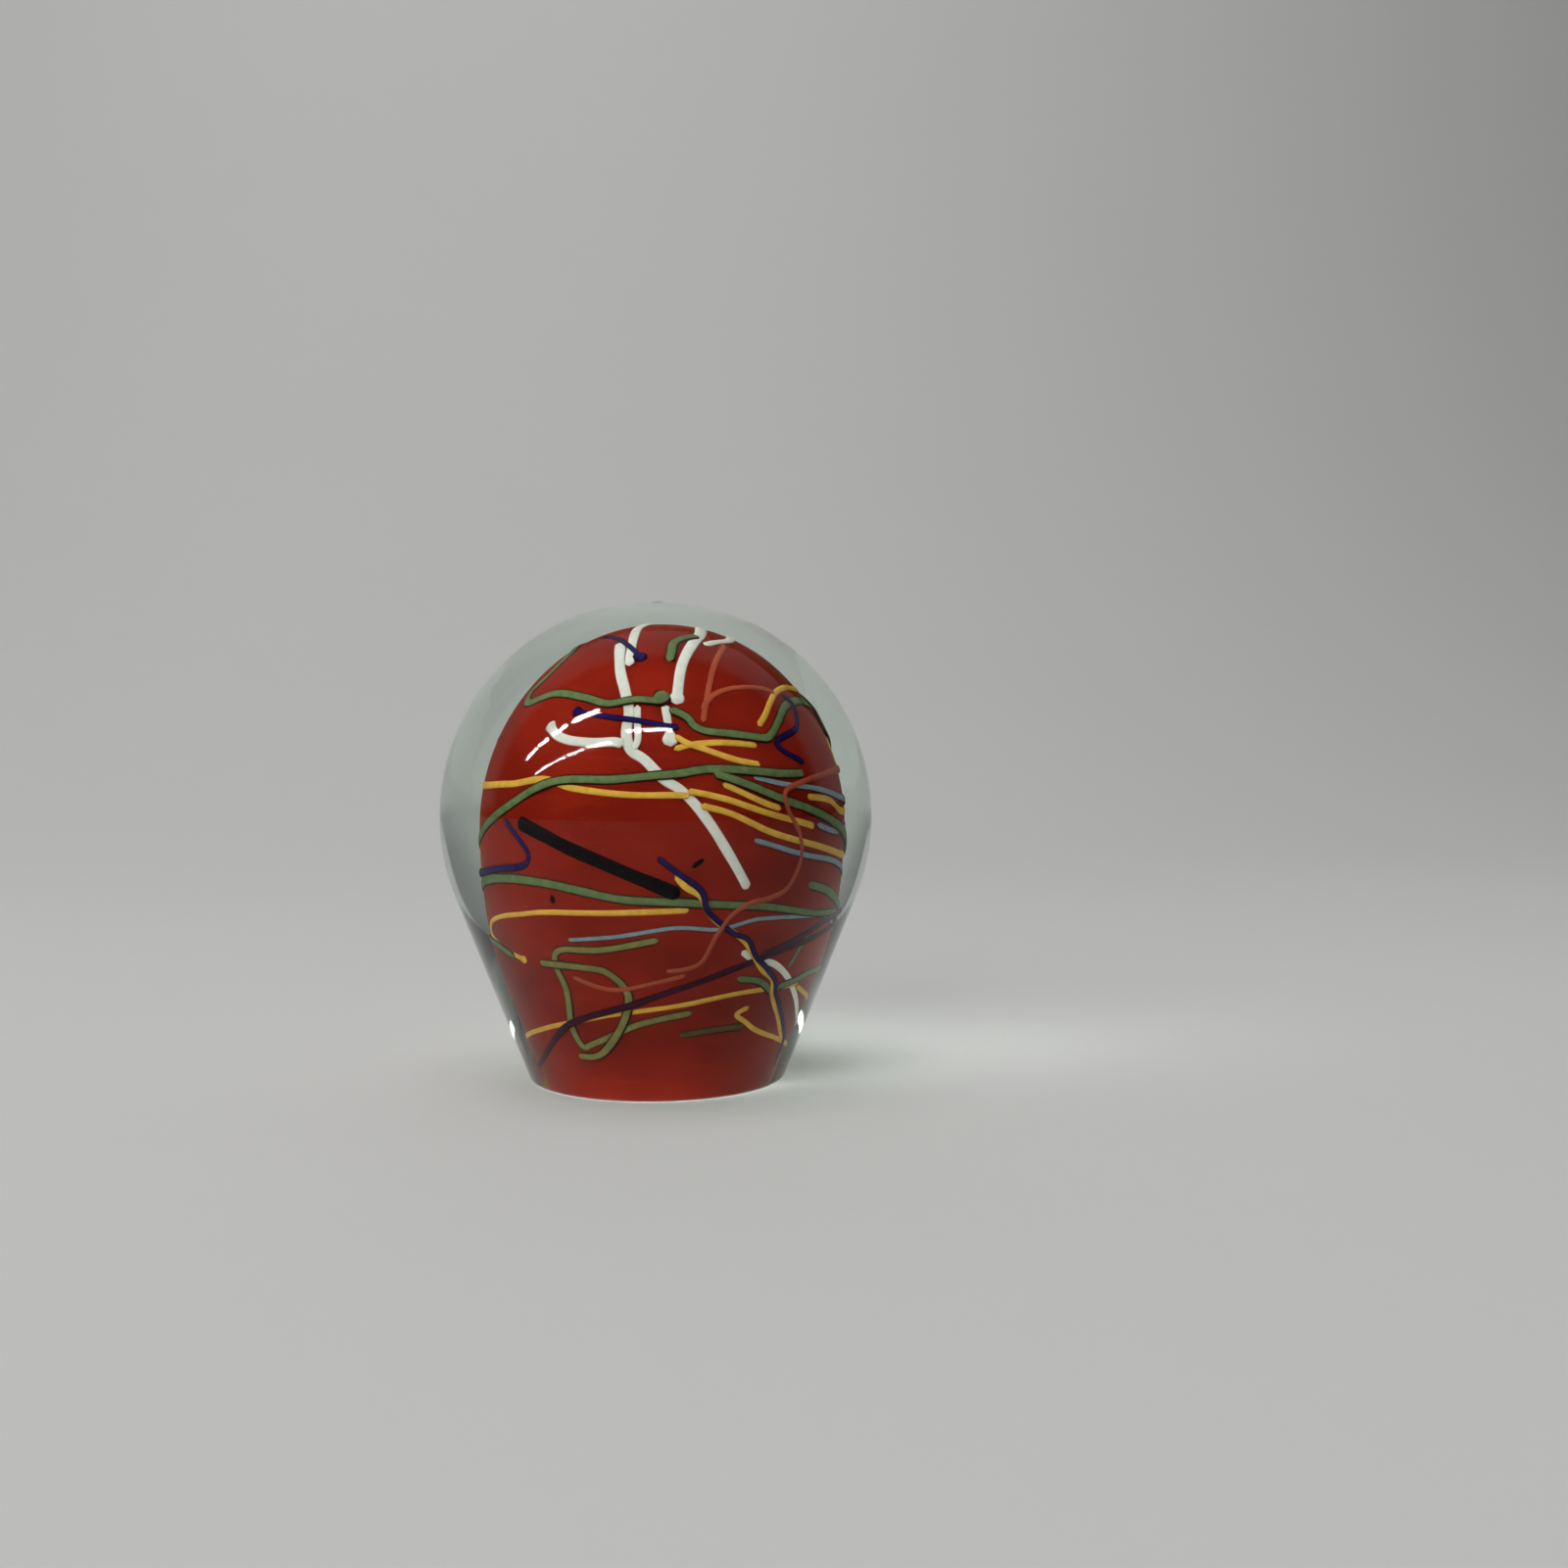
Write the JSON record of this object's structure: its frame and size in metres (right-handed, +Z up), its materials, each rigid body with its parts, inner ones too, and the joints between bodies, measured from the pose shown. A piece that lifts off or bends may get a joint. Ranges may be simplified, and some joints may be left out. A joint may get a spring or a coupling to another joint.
{
  "type": "paperweight",
  "caption": "Solid art-glass paperweight: a clear round casing with a flat ground foot over a red egg-shaped core wound with coloured glass threads.",
  "frame": {"origin": "centre of the ground foot, on the plane it stands on", "axes": "+Z up along the casing's axis of turning, -Y the front, +X to the right seen from the front"},
  "size_m": [0.076, 0.076, 0.0843],
  "materials": {
    "casing_glass": "clear, bubble-free, fire-polished, with a ground and polished foot",
    "red_glass": "opaque deep red glass",
    "heart_glass": "clear glass under the red",
    "white_glass": "opaque white glass",
    "green_glass": "opaque leaf-green glass with a dark edge where it meets the red",
    "yellow_glass": "opaque golden-yellow glass",
    "blue_glass": "dense cobalt-blue glass",
    "purple_glass": "dense dark violet glass",
    "grey_glass": "opaque blue-grey glass with a dark edge",
    "black_glass": "dense black glass",
    "salmon_glass": "thin translucent salmon glass"
  },
  "bodies": {
    "root": {"black_chips": "black_glass", "black_thread_waist": "black_glass", "blue_thread_back_arc": "blue_glass", "blue_thread_crown": "blue_glass", "blue_thread_diagonal": "blue_glass", "blue_thread_left_hook": "blue_glass", "blue_thread_right_hook": "blue_glass", "blue_thread_upper_front": "blue_glass", "clear_casing": "casing_glass", "green_thread_back_loop": "green_glass", "green_thread_back_rise": "green_glass", "green_thread_crown": "green_glass", "green_thread_foot_short": "green_glass", "green_thread_low_short": "green_glass", "green_thread_lower_loop": "green_glass", "green_thread_lower_turn": "green_glass", "green_thread_middle_ring": "green_glass", "green_thread_right_hook": "green_glass", "green_thread_right_link": "green_glass", "green_thread_shoulder_left": "green_glass", "green_thread_shoulder_right": "green_glass", "green_thread_waist": "green_glass", "green_thread_waist_right": "green_glass", "grey_thread_middle_ring": "grey_glass", "grey_thread_right_short": "grey_glass", "grey_thread_upper_right": "grey_glass", "grey_thread_waist_right": "grey_glass", "heart_gather": "heart_glass", "purple_thread_back_dash": "purple_glass", "purple_thread_diagonal": "purple_glass", "purple_thread_right": "purple_glass", "red_overlay": "red_glass", "salmon_thread_crown": "salmon_glass", "salmon_thread_faint": "salmon_glass", "salmon_thread_long_loop": "salmon_glass", "salmon_thread_shoulder": "salmon_glass", "white_thread_back_sweep": "white_glass", "white_thread_crown_back": "white_glass", "white_thread_crown_left": "white_glass", "white_thread_crown_right": "white_glass", "white_thread_front_strand": "white_glass", "white_thread_left_branch": "white_glass", "white_thread_long_sweep": "white_glass", "white_thread_low_right": "white_glass", "white_thread_short_drop": "white_glass", "yellow_thread_diagonal": "yellow_glass", "yellow_thread_foot_hook": "yellow_glass", "yellow_thread_low_right": "yellow_glass", "yellow_thread_low_ring": "yellow_glass", "yellow_thread_lower_left_hook": "yellow_glass", "yellow_thread_right_hook": "yellow_glass", "yellow_thread_right_short": "yellow_glass", "yellow_thread_right_upper": "yellow_glass", "yellow_thread_shoulder_lower": "yellow_glass", "yellow_thread_shoulder_right": "yellow_glass", "yellow_thread_shoulder_short": "yellow_glass", "yellow_thread_upper_ring": "yellow_glass", "yellow_thread_waist_right": "yellow_glass"}
  },
  "joints": []
}
